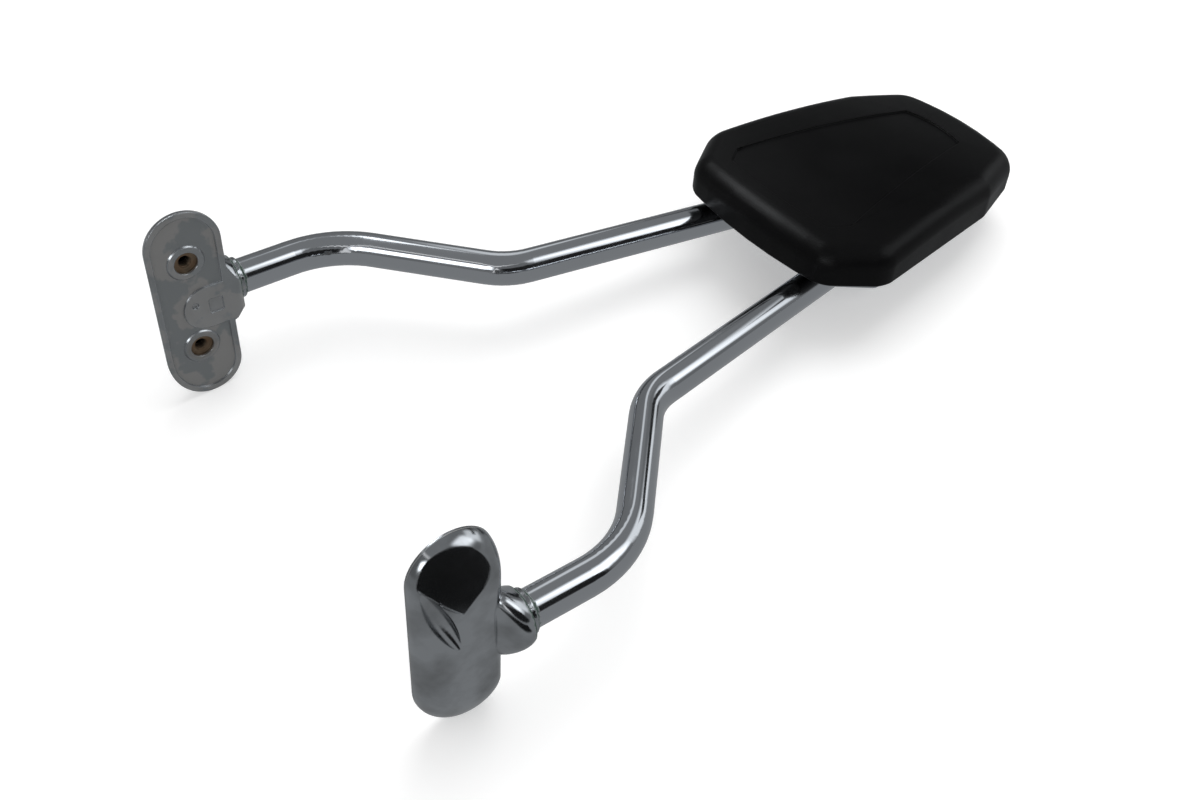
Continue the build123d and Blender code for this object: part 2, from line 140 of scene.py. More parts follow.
class Graph:
    """Adds nodes to one shader tree and joins them."""

    def __init__(self, tree: bpy.types.NodeTree) -> None:
        """Takes the tree that the nodes go into."""
        self.tree = tree

    def node(self, kind: str, inputs: dict | None = None, **settings) -> bpy.types.Node:
        """Adds a node.

        Args:
            kind: Blender's name for the node's type.
            inputs: Value or output socket for each input, by its name or number.
            settings: Properties of the node itself.

        Returns:
            The new node.
        """
        made = self.tree.nodes.new(kind)
        for name, value in settings.items():
            setattr(made, name, value)
        for name, value in (inputs or {}).items():
            self.feed(made.inputs[name], value)
        return made

    def feed(self, socket: bpy.types.NodeSocket, value) -> None:
        """Links an output socket to an input, or sets the input's own value."""
        if isinstance(value, bpy.types.NodeSocket):
            self.tree.links.new(value, socket)
        else:
            socket.default_value = value

    def group(self, tree: bpy.types.NodeTree, inputs: dict, output=0) -> bpy.types.NodeSocket:
        """Places an effect's group and gives one of its outputs, by name or number."""
        return self.node("ShaderNodeGroup", inputs, node_tree=tree).outputs[output]

    def place(self) -> bpy.types.NodeSocket:
        """Object coordinates, which are the frame's own on every piece."""
        return self.node("ShaderNodeTexCoord").outputs["Object"]

    def part(self, vector, axis: int) -> bpy.types.NodeSocket:
        """One part of a vector."""
        return self.node("ShaderNodeSeparateXYZ", {0: vector}).outputs[axis]

    def maths(self, operation: str, *values) -> bpy.types.NodeSocket:
        """Output of a Math node over one to three values."""
        inputs = dict(enumerate(values))
        return self.node("ShaderNodeMath", inputs, operation=operation).outputs[0]

    def times(self, *values) -> bpy.types.NodeSocket:
        """Product of two values."""
        return self.maths("MULTIPLY", *values)

    def vectors(self, operation: str, *values, output: str = "Vector") -> bpy.types.NodeSocket:
        """Output of a Vector Math node over two vectors."""
        inputs = dict(enumerate(values))
        return self.node("ShaderNodeVectorMath", inputs, operation=operation).outputs[output]

    def scaled(self, vector, share) -> bpy.types.NodeSocket:
        """Vector or colour times a share."""
        inputs = {0: vector, "Scale": share}
        return self.node("ShaderNodeVectorMath", inputs, operation="SCALE").outputs["Vector"]

    def noise(self, vector, scale, detail: float) -> bpy.types.NodeSocket:
        """Value of a noise texture at a vector."""
        inputs = {"Vector": vector, "Scale": scale, "Detail": detail}
        return self.node("ShaderNodeTexNoise", inputs).outputs["Fac"]

    def spread(self, value, low, high, to_low=0.0, to_high=1.0) -> bpy.types.NodeSocket:
        """Value moved from one range to another, and held inside it."""
        inputs = {
            "Value": value,
            "From Min": low,
            "From Max": high,
            "To Min": to_low,
            "To Max": to_high,
        }
        return self.node("ShaderNodeMapRange", inputs).outputs["Result"]

    def mix(self, share, first, second) -> bpy.types.NodeSocket:
        """Colour between two colours."""
        inputs = {0: share, 6: first, 7: second}
        return self.node("ShaderNodeMix", inputs, data_type="RGBA").outputs[2]

    def bump(self, height, strength: float, depth: float) -> bpy.types.Node:
        """Bump node over a height."""
        inputs = {"Strength": strength, "Distance": depth, "Height": height}
        return self.node("ShaderNodeBump", inputs)


def new_group(name: str, inputs: dict[str, str], outputs: dict[str, str]) -> tuple:
    """Starts a shader node group with named sockets.

    Args:
        name: Name of the group.
        inputs: Socket type of each input, such as Float or Vector.
        outputs: Socket type of each output.

    Returns:
        The group, its graph, its input sockets by name and its output node.
    """
    tree = bpy.data.node_groups.new(name, "ShaderNodeTree")
    for in_out, sockets in (("INPUT", inputs), ("OUTPUT", outputs)):
        for socket, kind in sockets.items():
            tree.interface.new_socket(socket, in_out=in_out, socket_type=f"NodeSocket{kind}")
    graph = Graph(tree)
    given = graph.node("NodeGroupInput").outputs
    return tree, graph, given, graph.node("NodeGroupOutput")


class Effects:
    """Shader groups that the finishes place, each with its own values.

    Attributes:
        SMEARS: Values of the noise where a smear starts and where it is full.
        FINE_SCALE: How much finer the small waves are than the broad ones.
        FINE_SHARE: Height of the small waves.
        RAGGED: How far the noise moves the edge of a ring of tarnish.
        RING: Distances, in widths, where a ring ends and where it is full.
        BEAD_EDGE: Half the distance over which the bead's mask changes.
        SPECK_EDGE: Width of a speck's soft edge.
    """

    SMEARS = (0.38, 0.68)
    FINE_SCALE = 12.0
    FINE_SHARE = 0.04
    RAGGED = 3.0
    RING = (2.6, 1.9)
    BEAD_EDGE = 0.4 * MM
    SPECK_EDGE = 0.06

    def __init__(self) -> None:
        """Builds every group once."""
        self.handling = self.build_handling()
        self.ripple = self.build_ripple()
        self.weld = self.build_weld()
        self.specks = self.build_specks()

    def build_handling(self) -> bpy.types.NodeTree:
        """Smears left by hands and cloths, as a value between two limits."""
        inputs = {"Vector": "Vector", "Scale": "Float", "Low": "Float", "High": "Float"}
        tree, graph, given, end = new_group("handling_marks", inputs, {"Value": "Float"})
        smear = graph.noise(given["Vector"], given["Scale"], 4.0)
        value = graph.spread(smear, *self.SMEARS, given["Low"], given["High"])
        graph.feed(end.inputs["Value"], value)
        return tree

    def build_ripple(self) -> bpy.types.NodeTree:
        """Slow waves that polishing leaves in plated metal, as a height."""
        inputs = {"Vector": "Vector", "Scale": "Float"}
        tree, graph, given, end = new_group("polishing_ripple", inputs, {"Height": "Float"})
        broad = graph.noise(given["Vector"], given["Scale"], 1.0)
        fine = graph.noise(given["Vector"], graph.times(given["Scale"], self.FINE_SCALE), 1.0)
        height = graph.maths("ADD", broad, graph.times(fine, self.FINE_SHARE))
        graph.feed(end.inputs["Height"], height)
        return tree

    def build_weld(self) -> bpy.types.NodeTree:
        """Weld round a joint that lies square to an axis.

        The tarnish is a mask of two ragged rings, at the bead's two edges. The
        bead is a mask of the stretch between them.
        """
        inputs = {
            "Vector": "Vector",
            "Centre": "Vector",
            "Axis": "Vector",
            "Half length": "Float",
            "Width": "Float",
            "Scale": "Float",
        }
        outputs = {"Tarnish": "Float", "Bead": "Float"}
        tree, graph, given, end = new_group("weld", inputs, outputs)
        away = graph.vectors("SUBTRACT", given["Vector"], given["Centre"])
        along = graph.vectors("DOT_PRODUCT", away, given["Axis"], output="Value")
        beyond = graph.maths("SUBTRACT", graph.maths("ABSOLUTE", along), given["Half length"])
        share = graph.maths("DIVIDE", graph.maths("ABSOLUTE", beyond), given["Width"])
        ragged = graph.noise(given["Vector"], given["Scale"], 5.0)
        edge = graph.maths("ADD", share, graph.times(ragged, self.RAGGED))
        graph.feed(end.inputs["Tarnish"], graph.spread(edge, *self.RING))
        graph.feed(end.inputs["Bead"], graph.spread(beyond, self.BEAD_EDGE, -self.BEAD_EDGE))
        return tree

    def build_specks(self) -> bpy.types.NodeTree:
        """Fine specks of dust, as a mask."""
        inputs = {"Vector": "Vector", "Scale": "Float", "Size": "Float"}
        tree, graph, given, end = new_group("fine_specks", inputs, {"Mask": "Float"})
        spots = {"Vector": given["Vector"], "Scale": given["Scale"]}
        cells = graph.node("ShaderNodeTexVoronoi", spots).outputs["Distance"]
        edge = graph.maths("ADD", given["Size"], self.SPECK_EDGE)
        graph.feed(end.inputs["Mask"], graph.spread(cells, edge, given["Size"]))
        return tree


# Finishes


@dataclass(frozen=True)
class Finish(ABC):
    """A finish that paints one material.

    Args:
        name: Name of the material.
    """

    name: str

    def start(self) -> tuple[bpy.types.Material, Graph, bpy.types.Node, bpy.types.NodeSocket]:
        """Starts the material.

        Returns:
            The material, its graph, its Principled BSDF and the object coordinates.
        """
        material = bpy.data.materials.new(self.name)
        material.use_nodes = True
        graph = Graph(material.node_tree)
        return material, graph, material.node_tree.nodes["Principled BSDF"], graph.place()

    @abstractmethod
    def material(self, effects: Effects) -> bpy.types.Material:
        """Builds the material with the shared shader groups."""


@dataclass(frozen=True)
class Chrome(Finish):
    """Chrome plate, with waves, smears, grime and a tarnished weld.

    Args:
        tint: Colour of the plate.
        shine: Lowest and highest roughness.
        smear_scale: Scale of the smears.
        wave: Strength of the polishing waves.
        wave_scale: Scale of the waves.
        wave_depth: Depth of the waves.
        grime_and_shade: Share of the plate that a grey film covers, from 0 to 1.
        grime_scale: Scale of the film.
        grime_rough: Roughness that the film adds.
        grime_and_shade_colour: Colour of the film.
        joint: Middle of the weld, or None.
        joint_axis: Direction that the weld lies square to.
        bead_half: Half length of the weld bead.
        bead_scale: Scale of the lumps in the bead.
        bead_rise: Height of the lumps, against the waves.
        tarnish: Colour of the tarnish.
        tarnish_width: Width of a ring of tarnish.
        tarnish_scale: Scale of its ragged edge.
        tarnish_rough: Roughness that it adds.
        tarnish_dull: Metallic share that it takes away.
        edge_radius: Radius that sharp edges seem to have.
    """

    tint: tuple = (0.50, 0.515, 0.54, 1)
    shine: tuple = (0.07, 0.15)
    smear_scale: float = 35.0
    wave: float = 0.12
    wave_scale: float = 28.0
    wave_depth: float = 2 * MM
    grime_and_shade: float = 0.0
    grime_scale: float = 48.0
    grime_rough: float = 0.12
    grime_and_shade_colour: tuple = (0.22, 0.225, 0.23, 1)
    joint: tuple | None = None
    joint_axis: tuple = (0, 1, 0)
    bead_half: float = 2 * MM
    bead_scale: float = 330.0
    bead_rise: float = 2.5
    tarnish: tuple = (0.045, 0.075, 0.062, 1)
    tarnish_width: float = 1.2 * MM
    tarnish_scale: float = 420.0
    tarnish_rough: float = 0.45
    tarnish_dull: float = 0.8
    edge_radius: float = 0.0

    def plate(self, effects: Effects) -> tuple:
        """Builds the plated surface, ready for more to be laid over it.

        Args:
            effects: The shared shader groups.

        Returns:
            The material, its graph, its BSDF, the coordinates, and the
            sockets of the colour, roughness and metallic share.
        """
        material, graph, bsdf, place = self.start()
        low, high = self.shine
        smears = {"Vector": place, "Scale": self.smear_scale, "Low": low, "High": high}
        rough = graph.group(effects.handling, smears)
        height = graph.group(effects.ripple, {"Vector": place, "Scale": self.wave_scale})
        colour, metal = self.tint, 1.0
        if self.grime_and_shade:
            cover = {"Vector": place, "Scale": self.grime_scale, "Low": 0.0, "High": self.grime_and_shade}
            film = graph.group(effects.handling, cover)
            colour = graph.mix(film, self.tint, self.grime_and_shade_colour)
            rough = graph.maths("ADD", rough, graph.times(film, self.grime_rough))
        if self.joint:
            weld = {
                "Vector": place,
                "Centre": self.joint,
                "Axis": self.joint_axis,
                "Half length": self.bead_half,
                "Width": self.tarnish_width,
                "Scale": self.tarnish_scale,
            }
            mask = graph.group(effects.weld, weld, "Tarnish")
            bead = graph.group(effects.weld, weld, "Bead")
            colour = graph.mix(mask, colour, self.tarnish)
            rough = graph.maths("ADD", rough, graph.times(mask, self.tarnish_rough))
            metal = graph.maths("SUBTRACT", 1.0, graph.times(mask, self.tarnish_dull))
            lumps = graph.times(graph.noise(place, self.bead_scale, 3.0), bead)
            height = graph.maths("ADD", height, graph.times(lumps, self.bead_rise))
        bump = graph.bump(height, self.wave, self.wave_depth)
        if self.edge_radius:
            soft = graph.node("ShaderNodeBevel", {"Radius": self.edge_radius}, samples=4)
            graph.feed(bump.inputs["Normal"], soft.outputs["Normal"])
        graph.feed(bsdf.inputs["Normal"], bump.outputs["Normal"])
        return material, graph, bsdf, place, colour, rough, metal

    def material(self, effects: Effects) -> bpy.types.Material:
        """Builds the material with the shared shader groups."""
        material, graph, bsdf, _, colour, rough, metal = self.plate(effects)
        graph.feed(bsdf.inputs["Base Color"], colour)
        graph.feed(bsdf.inputs["Roughness"], rough)
        graph.feed(bsdf.inputs["Metallic"], metal)
        return material


@dataclass(frozen=True)
class CastChrome(Chrome):
    """Chrome plate on a casting, whose inner face is dull and stained, with painted shade at the
    bottoms of its bores.

    Args:
        field_x: Distance of the sunk field from the middle of the bike.
        face_x: Distance of the rim and bosses round it.
        level_edge: Distances from a level where it ends and where it is full.
        face_share: How dull the rim and bosses are, against the field.
        flatness: How flat the face is where the dullness starts and is full.
        dull_rough: Roughness that the dullness adds.
        dull_metal: Metallic share that it takes away.
        field_colour: Colour of the dull field.
        stain_colour: Colour of the stains on it.
        stain_scale: Scale of the stains.
        stain_edge: Values of the smears where a stain starts and is full.
        bores: Middles of the left bushes, the lower one last.
        bore_radius: Distance from their axes within which the bottom of a bore gets painted
            shade.
        bore_shade: Share of the colour that the painted shade takes away there.
        rust_radius: Distance from the lower axis that rust has stained.
        rust_fade: Distance over which it fades out.
        rust_share: Strength of the stain.
        rust_colour: Colour of the stain.
    """

    field_x: float = 138.5 * MM
    face_x: float = 137.5 * MM
    level_edge: tuple = (0.3 * MM, 0.1 * MM)
    face_share: float = 0.8
    flatness: tuple = (0.90, 0.985)
    dull_rough: float = 0.3
    dull_metal: float = 0.4
    field_colour: tuple = (0.265, 0.262, 0.258, 1)
    stain_colour: tuple = (0.20, 0.212, 0.218, 1)
    stain_scale: float = 42.0
    stain_edge: tuple = (0.36, 0.48)
    bores: tuple = ()
    bore_radius: float = 4.6 * MM
    bore_shade: float = 0.95
    rust_radius: float = 10.5 * MM
    rust_fade: float = 3 * MM
    rust_share: float = 0.6
    rust_colour: tuple = (0.17, 0.135, 0.10, 1)

    @staticmethod
    def from_axis(graph: Graph, place, middle: tuple) -> bpy.types.NodeSocket:
        """Distance from an axis along X."""
        flat = graph.vectors("MULTIPLY", place, (0, 1, 1))
        return graph.vectors("DISTANCE", flat, (0, *middle[1:]), output="Value")

    def at_level(self, graph: Graph, reach, level: float) -> bpy.types.NodeSocket:
        """One where the distance from the middle of the bike is a level's own."""
        away = graph.maths("ABSOLUTE", graph.maths("SUBTRACT", reach, level))
        return graph.spread(away, *self.level_edge)

    def dulled(self, graph: Graph, place, shape) -> bpy.types.NodeSocket:
        """How dull the plate is: on the inner face, but not on its edges."""
        reach = graph.maths("ABSOLUTE", graph.part(place, 0))
        field = self.at_level(graph, reach, self.field_x)
        face = graph.times(self.at_level(graph, reach, self.face_x), self.face_share)
        soft = graph.node("ShaderNodeBevel", {"Radius": self.edge_radius}, samples=6)
        flat = graph.vectors("DOT_PRODUCT", shape, soft.outputs["Normal"], output="Value")
        flat = graph.spread(flat, *self.flatness)
        return graph.times(graph.maths("MAXIMUM", field, face), flat)

    def material(self, effects: Effects) -> bpy.types.Material:
        """Builds the material with the shared shader groups."""
        material, graph, bsdf, place, colour, rough, metal = self.plate(effects)
        shape = graph.node("ShaderNodeNewGeometry").outputs["Normal"]
        dulled = self.dulled(graph, place, shape)
        smears = {"Vector": place, "Scale": self.stain_scale, "Low": 0.0, "High": 1.0}
        stain = graph.spread(graph.group(effects.handling, smears), *self.stain_edge)
        dull = graph.mix(stain, self.field_colour, self.stain_colour)
        away = [self.from_axis(graph, place, middle) for middle in self.bores]
        inner = self.rust_radius - self.rust_fade
        rust = graph.spread(away[-1], self.rust_radius, inner, 0.0, self.rust_share)
        dull = graph.mix(graph.times(rust, dulled), dull, self.rust_colour)
        painted = graph.mix(dulled, colour, dull)
        # Painted shade: faces that look inward near a bush's axis, the bottoms of the bores,
        # lose most of their colour.
        near_axis = graph.maths("LESS_THAN", graph.maths("MINIMUM", *away), self.bore_radius)
        across = graph.vectors("MULTIPLY", place, (1, 0, 0))
        outward = graph.vectors("DOT_PRODUCT", across, shape, output="Value")
        inward = graph.maths("LESS_THAN", outward, 0.0)
        shaded_bottom = graph.times(graph.times(near_axis, inward), self.bore_shade)
        painted = graph.scaled(painted, graph.maths("SUBTRACT", 1.0, shaded_bottom))
        graph.feed(bsdf.inputs["Base Color"], painted)
        rough = graph.maths("ADD", rough, graph.times(dulled, self.dull_rough))
        graph.feed(bsdf.inputs["Roughness"], rough)
        metal = graph.maths("SUBTRACT", metal, graph.times(dulled, self.dull_metal))
        graph.feed(bsdf.inputs["Metallic"], metal)
        return material


@dataclass(frozen=True)
class Steel(Finish):
    """Zinc plated, blackened or rusty steel.

    Args:
        colour: Colour of the clean metal.
        spoiled: Colour of rust or worn places.
        amount: How much of the surface is spoiled, from 0 to 1.
        rough: Roughness.
        metal: Metallic share of the clean metal.
        scale: Scale of the spoiled places.
        spoiled_rough: Roughness that they add.
        spoiled_metal: Metallic share that they take away.
        grit: Strength of the fine unevenness.
        grit_scale: How much finer it is than the spoiled places.
        relief: Depth of the unevenness and of the thread.
    """

    colour: tuple
    spoiled: tuple
    amount: float
    rough: float = 0.35
    metal: float = 1.0
    scale: float = 120.0
    spoiled_rough: float = 0.3
    spoiled_metal: float = 0.6
    grit: float = 0.15
    grit_scale: float = 3.0
    relief: float = 0.4 * MM

    def with_bore_shade(self, graph: Graph, place, colour) -> bpy.types.NodeSocket:
        """Colour with painted shade in a bore: none on plain steel."""
        return colour

    def bumps(self, graph: Graph, place, effects: Effects) -> bpy.types.Node:
        """Bump node of the surface."""
        grain = {"Vector": place, "Scale": self.scale * self.grit_scale}
        return graph.bump(graph.group(effects.ripple, grain), self.grit, self.relief)

    def material(self, effects: Effects) -> bpy.types.Material:
        """Builds the material with the shared shader groups."""
        material, graph, bsdf, place = self.start()
        marks = {"Vector": place, "Scale": self.scale, "Low": 0.0, "High": self.amount}
        spoiled = graph.group(effects.handling, marks)
        colour = self.with_bore_shade(graph, place, graph.mix(spoiled, self.colour, self.spoiled))
        graph.feed(bsdf.inputs["Base Color"], colour)
        rough = graph.maths("ADD", self.rough, graph.times(spoiled, self.spoiled_rough))
        graph.feed(bsdf.inputs["Roughness"], rough)
        metal = graph.maths("SUBTRACT", self.metal, graph.times(spoiled, self.spoiled_metal))
        graph.feed(bsdf.inputs["Metallic"], metal)
        bump = self.bumps(graph, place, effects)
        graph.feed(bsdf.inputs["Normal"], bump.outputs["Normal"])
        return material


@dataclass(frozen=True)
class ThreadedSteel(Steel):
    """Steel with a thread along X, and painted shade that darkens it the deeper it goes into the
    bore.

    Args:
        pitch: Pitch of the thread.
        thread: Strength of the thread.
        mouth: Distance of the thread's mouth from the middle of the bike.
        depth: How far in the bore the painted shade is at its darkest.
        grime_and_shade: Greatest share of painted shade there.
        grime_and_shade_colour: Colour of the painted shade.
    """

    pitch: float = 1.25 * MM
    thread: float = 0.9
    mouth: float = 138.5 * MM
    depth: float = 5 * MM
    grime_and_shade: float = 0.92
    grime_and_shade_colour: tuple = (0.004, 0.003, 0.002, 1)

    def with_bore_shade(self, graph: Graph, place, colour) -> bpy.types.NodeSocket:
        """Colour with painted shade that darkens the bore the deeper it goes."""
        reach = graph.maths("ABSOLUTE", graph.part(place, 0))
        # Painted shade: the colour goes towards near black the deeper a point lies in the bore.
        depth_shade = graph.spread(reach, self.mouth, self.mouth + self.depth, 0.0, self.grime_and_shade)
        return graph.mix(depth_shade, colour, self.grime_and_shade_colour)

    def bumps(self, graph: Graph, place, effects: Effects) -> bpy.types.Node:
        """Bump node of the thread."""
        turn = graph.times(graph.part(place, 0), 2 * math.pi / self.pitch)
        return graph.bump(graph.maths("SINE", turn), self.thread, self.relief)


@dataclass(frozen=True)
class PadSkin(Finish):
    """Black moulded skin of the pad: satin, finely grained, a little dusty.

    Args:
        colour: Colour of the skin.
        dust_colour: Colour of the dust.
        dust_scale: Scale of the specks of dust.
        dust_size: Size of a speck within its cell.
        dust_share: How much of the dust's colour a speck has.
        haze: Greatest share of dust in the haze between the specks.
        haze_scale: Scale of the haze.
        shine: Lowest and highest roughness.
        smear_scale: Scale of the smears.
        mirror: How much light the skin mirrors.
        grain: Scale of the grain.
        grain_strength: Strength of the grain.
        grain_depth: Depth of the grain.
    """

    colour: tuple = (0.0028, 0.0028, 0.0030, 1)
    dust_colour: tuple = (0.015, 0.015, 0.016, 1)
    dust_scale: float = 420.0
    dust_size: float = 0.05
    dust_share: float = 0.35
    haze: float = 0.08
    haze_scale: float = 22.0
    shine: tuple = (0.30, 0.38)
    smear_scale: float = 30.0
    mirror: float = 0.08
    grain: float = 2600.0
    grain_strength: float = 0.22
    grain_depth: float = 0.2 * MM

    def material(self, effects: Effects) -> bpy.types.Material:
        """Builds the material with the shared shader groups."""
        material, graph, bsdf, place = self.start()
        dust = {"Vector": place, "Scale": self.dust_scale, "Size": self.dust_size}
        specks = graph.times(graph.group(effects.specks, dust), self.dust_share)
        haze = {"Vector": place, "Scale": self.haze_scale, "Low": 0.0, "High": self.haze}
        cloud = graph.maths("ADD", specks, graph.group(effects.handling, haze))
        graph.feed(bsdf.inputs["Base Color"], graph.mix(cloud, self.colour, self.dust_colour))
        low, high = self.shine
        smears = {"Vector": place, "Scale": self.smear_scale, "Low": low, "High": high}
        graph.feed(bsdf.inputs["Roughness"], graph.group(effects.handling, smears))
        grain = graph.noise(place, self.grain, 2.0)
        bump = graph.bump(grain, self.grain_strength, self.grain_depth)
        graph.feed(bsdf.inputs["Normal"], bump.outputs["Normal"])
        bsdf.inputs["Specular IOR Level"].default_value = self.mirror
        return material


# Objects and meshes


def add_object(name: str, data) -> bpy.types.Object:
    """Makes an object of some data and links it into the scene."""
    made = bpy.data.objects.new(name, data)
    bpy.context.scene.collection.objects.link(made)
    return made


def add_mesh(name: str, mesh: bmesh.types.BMesh) -> bpy.types.Object:
    """Makes an object of a finished mesh, and frees the mesh."""
    data = bpy.data.meshes.new(name)
    mesh.to_mesh(data)
    mesh.free()
    return add_object(name, data)


@dataclass(frozen=True)
class Outline:
    """Long octagon that tapers upwards, its two ends bowed out.

    Args:
        lower_y: Lower end.
        length: Length with both bows.
        bow: How far each end bows out.
        rows: Half width and share of the way up, from the lower end.
        corner_radius: Radius of the corners.
        end_cuts: Cuts in each bowed end.
        corner_steps: Steps in each round corner.
        corner_turn: Turn from which a corner is rounded.
    """

    lower_y: float
    length: float
    bow: float
    rows: tuple
    corner_radius: float
    end_cuts: int = 5
    corner_steps: int = 8
    corner_turn: float = math.radians(9)

    @property
    def middle_y(self) -> float:
        """Middle of the length."""
        return self.lower_y + self.length / 2

    @property
    def half_width(self) -> float:
        """Half of the greatest width."""
        return max(half for half, _ in self.rows)

    def face(self, mesh: bmesh.types.BMesh, z: float) -> bmesh.types.BMFace:
        """Makes the outline as one face that looks up.

        Args:
            mesh: Mesh that the face is added to.
            z: Height of the face.

        Returns:
            The face.
        """
        older = set(mesh.faces)
        foot, span = self.lower_y + self.bow, self.length - 2 * self.bow
        right = [Vector((half, foot + share * span, z)) for half, share in self.rows]
        left = [Vector((-point.x, point.y, z)) for point in reversed(right)]
        points = [mesh.verts.new(point) for point in right + left]
        mesh.faces.new(points)
        low_end = mesh.edges.get((points[-1], points[0]))
        high_end = mesh.edges.get((points[len(right) - 1], points[len(right)]))
        self.bow_out(mesh, low_end, -1)
        self.bow_out(mesh, high_end, 1)
        face = [face for face in mesh.faces if face not in older][0]
        for corner in [vert for vert in face.verts if vert.calc_edge_angle() > self.corner_turn]:
            self.round_corner(mesh, corner)
        face = [face for face in mesh.faces if face not in older][0]
        face.normal_update()
        return face

    def bow_out(self, mesh: bmesh.types.BMesh, edge: bmesh.types.BMEdge, sign: int) -> None:
        """Bends a straight end outwards."""
        half = abs(edge.verts[0].co.x)
        cut = bmesh.ops.subdivide_edges(mesh, edges=[edge], cuts=self.end_cuts)
        inner = {part for part in cut["geom_inner"] if isinstance(part, bmesh.types.BMVert)}
        for vert in inner:
            vert.co.y += sign * self.bow * (1 - (vert.co.x / half) ** 2)

    def round_corner(self, mesh: bmesh.types.BMesh, corner: bmesh.types.BMVert) -> None:
        """Rounds one corner to the outline's radius."""
        turn = corner.calc_edge_angle()
        bmesh.ops.bevel(
            mesh,
            geom=[corner],
            offset=self.corner_radius * math.tan(turn / 2),
            segments=self.corner_steps,
            profile=0.5,
            affect="VERTICES",
            material=-1,
            clamp_overlap=True,
        )


@dataclass(frozen=True)
class Pad:
    """Moulded pad with a crowned face, a round edge and a sunk front panel.

    Args:
        outline: Outline of the whole pad.
        panel: Outline of the sunk panel.
        back: Height of the pad's back over the bar plane.
        thickness: Thickness in the middle of the face.
        crown_radius: Radius of the crowned face.
        edge_rounding: Radius of the edge round the face.
        back_rounding: Radius of the edge round the back.
        panel_depth: Depth of the panel.
        panel_edge: Radius of the panel's edges.
        edge_steps: Steps in the edge round the face.
        small_steps: Steps in each smaller edge.
        slice_step: Distance between the cuts that let the face bend.
        cut_reach: Distance within which a point lies on a cut.
        level_reach: Distance within which a point lies at a height.
    """

    outline: Outline
    panel: Outline
    back: float
    thickness: float
    crown_radius: float
    edge_rounding: float
    back_rounding: float
    panel_depth: float
    panel_edge: float
    edge_steps: int = 10
    small_steps: int = 3
    slice_step: float = 9 * MM
    cut_reach: float = 0.05 * MM
    level_reach: float = 0.001 * MM

    @property
    def face_z(self) -> float:
        """Height of the middle of the face."""
        return self.back + self.thickness

    def build(self, plane: BarPlane) -> bpy.types.Object:
        """Builds the pad's skin.

        Args:
            plane: Plane that the pad is laid on.

        Returns:
            The object, with its place in its mesh.
        """
        mesh = bmesh.new()
        shaded_bottom = self.outline.face(mesh, self.back)
        grown = bmesh.ops.extrude_face_region(mesh, geom=[shaded_bottom], use_keep_orig=True)
        self.move(mesh, grown["geom"], self.thickness)
        bmesh.ops.recalc_face_normals(mesh, faces=mesh.faces)
        for z, radius, steps in (
            (self.face_z, self.edge_rounding, self.edge_steps),
            (self.back, self.back_rounding, self.small_steps),
        ):
            self.round_over(mesh, self.flat_face(mesh, z).edges, radius, steps)
        self.sink_panel(mesh)
        self.slice(mesh)
        self.crown(mesh)
        bmesh.ops.transform(mesh, matrix=plane.matrix(), verts=mesh.verts)
        bmesh.ops.recalc_face_normals(mesh, faces=mesh.faces)
        for face in mesh.faces:
            face.smooth = True
        skin = add_mesh("pad_skin", mesh)
        weighted = skin.modifiers.new("weighted_normals", "WEIGHTED_NORMAL")
        weighted.weight = 80
        weighted.keep_sharp = True
        return skin

    def flat_face(self, mesh: bmesh.types.BMesh, z: float) -> bmesh.types.BMFace:
        """Largest face that lies at a height."""
        near = self.level_reach
        level = [f for f in mesh.faces if all(abs(v.co.z - z) < near for v in f.verts)]
        return max(level, key=lambda face: face.calc_area())

    @staticmethod
    def round_over(mesh: bmesh.types.BMesh, edges, radius: float, steps: int) -> None:
        """Rounds edges over, each step a little arc."""
        bmesh.ops.bevel(
            mesh,
            geom=list(edges),
            offset=radius,
            segments=steps,
            profile=0.5,
            affect="EDGES",
            material=-1,
            clamp_overlap=False,
        )

    @staticmethod
    def move(mesh: bmesh.types.BMesh, grown: list, height: float) -> None:
        """Raises or lowers what an extrusion has made."""
        points = [part for part in grown if isinstance(part, bmesh.types.BMVert)]
        bmesh.ops.translate(mesh, verts=points, vec=(0, 0, height))

    def sink_panel(self, mesh: bmesh.types.BMesh) -> None:
        """Sinks the front panel into the pad's face."""
        top = self.flat_face(mesh, self.face_z)
        rim = list(top.edges)
        bmesh.ops.delete(mesh, geom=[top], context="FACES_ONLY")
        floor = self.panel.face(mesh, self.face_z)
        mouth = list(floor.edges)
        sunk = bmesh.ops.extrude_face_region(mesh, geom=[floor])
        if floor.is_valid:
            bmesh.ops.delete(mesh, geom=[floor], context="FACES_ONLY")
        self.move(mesh, sunk["geom"], -self.panel_depth)
        bmesh.ops.bridge_loops(mesh, edges=rim + mouth)
        foot = self.flat_face(mesh, self.face_z - self.panel_depth)
        self.round_over(mesh, [*foot.edges, *mouth], self.panel_edge, self.small_steps)

    def slice(self, mesh: bmesh.types.BMesh) -> None:
        """Cuts the mesh into a grid, whose lines miss the points in the middle."""
        for axis, middle, half in (
            (0, 0.0, self.outline.half_width),
            (1, self.outline.middle_y, self.outline.length / 2),
        ):
            direction = Vector((0, 0, 0))
            direction[axis] = 1.0
            count = int(half / self.slice_step) + 1
            for number in range(-count, count):
                bmesh.ops.bisect_plane(
                    mesh,
                    geom=[*mesh.verts, *mesh.edges, *mesh.faces],
                    dist=self.cut_reach,
                    plane_co=direction * (middle + (number + 0.5) * self.slice_step),
                    plane_no=direction,
                )

    def crown(self, mesh: bmesh.types.BMesh) -> None:
        """Lowers the face away from its middle, with the edge round it."""
        level = self.face_z - self.edge_rounding - MM
        for vert in mesh.verts:
            if vert.co.z > level:
                away = vert.co.x**2 + (vert.co.y - self.outline.middle_y) ** 2
                vert.co.z -= away / (2 * self.crown_radius)


# Studio


def aimed(place: tuple, target: tuple, axis: str) -> tuple:
    """Rotation that turns one of an object's axes from its place to a point."""
    return (Vector(target) - Vector(place)).to_track_quat(axis, "Y").to_euler()


